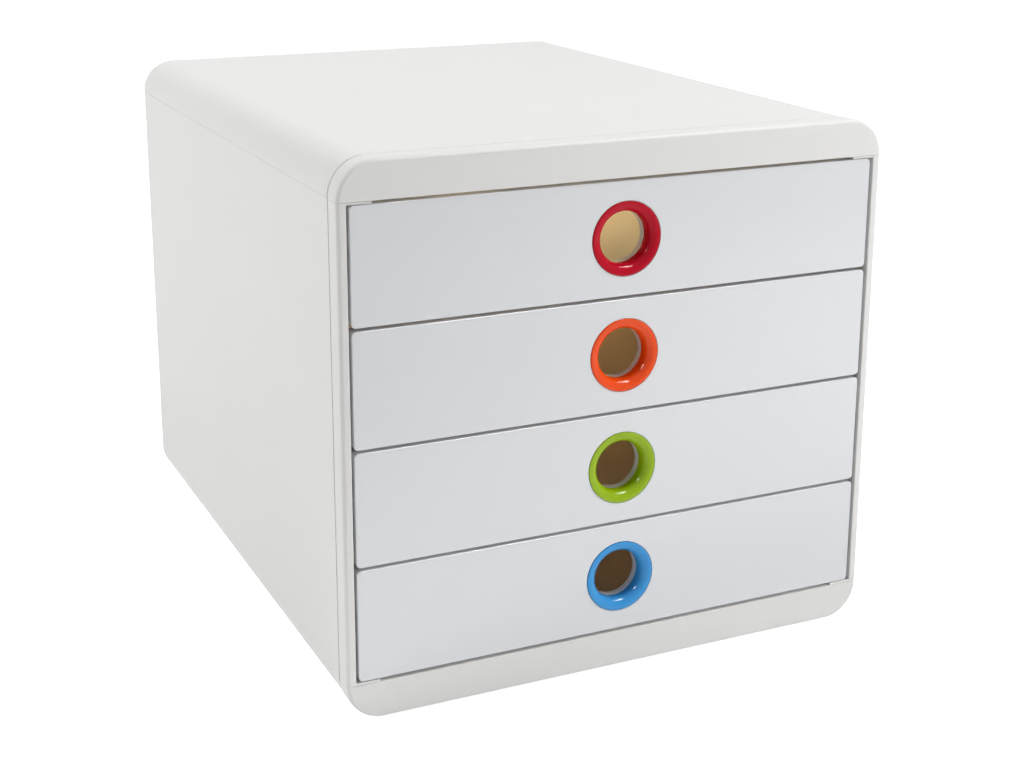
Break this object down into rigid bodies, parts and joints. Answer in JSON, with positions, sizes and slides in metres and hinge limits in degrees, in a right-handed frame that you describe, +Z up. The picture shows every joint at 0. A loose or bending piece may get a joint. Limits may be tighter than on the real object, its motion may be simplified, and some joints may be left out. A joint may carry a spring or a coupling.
{
  "type": "desk drawer tower",
  "caption": "White desktop drawer box: rounded casing, stacked full-width sliding drawers for A4 paper, each with a coloured ring round its finger hole.",
  "frame": {"origin": "middle of the footprint at the level of the feet", "axes": "+X to the right seen from the front, +Y from the front to the back, +Z up; the drawers slide out along -Y"},
  "size_m": [0.288, 0.36, 0.27],
  "materials": {
    "casing_white": "warm white moulded plastic with a fine satin texture",
    "foot_rubber": "pale grey soft rubber, matt",
    "tray_white": "warm white moulded plastic, satin",
    "front_white": "cool white moulded plastic, glossy",
    "ring_red": "crimson moulded plastic, glossy",
    "ring_orange": "orange moulded plastic, glossy",
    "ring_green": "yellow-green moulded plastic, glossy",
    "ring_blue": "sky blue moulded plastic, glossy"
  },
  "bodies": {
    "casing": {"top_cover": "casing_white", "base_shell": "casing_white", "left_side_panel": "casing_white", "right_side_panel": "casing_white", "back_panel": "casing_white", "foot_pad_front_left": "foot_rubber", "foot_pad_front_right": "foot_rubber", "foot_pad_rear_left": "foot_rubber", "foot_pad_rear_right": "foot_rubber"},
    "drawer_1": {"drawer_tray_1": "tray_white", "drawer_front_1": "front_white", "grip_ring_1": "ring_red"},
    "drawer_2": {"drawer_tray_2": "tray_white", "drawer_front_2": "front_white", "grip_ring_2": "ring_orange"},
    "drawer_3": {"drawer_tray_3": "tray_white", "drawer_front_3": "front_white", "grip_ring_3": "ring_green"},
    "drawer_4": {"drawer_tray_4": "tray_white", "drawer_front_4": "front_white", "grip_ring_4": "ring_blue"}
  },
  "joints": [
    {"name": "drawer_1_slide", "type": "slide", "parent": "casing", "child": "drawer_1", "axis": [0, -1, 0], "range_m": [0, 0.27]},
    {"name": "drawer_2_slide", "type": "slide", "parent": "casing", "child": "drawer_2", "axis": [0, -1, 0], "range_m": [0, 0.27]},
    {"name": "drawer_3_slide", "type": "slide", "parent": "casing", "child": "drawer_3", "axis": [0, -1, 0], "range_m": [0, 0.27]},
    {"name": "drawer_4_slide", "type": "slide", "parent": "casing", "child": "drawer_4", "axis": [0, -1, 0], "range_m": [0, 0.27]}
  ]
}
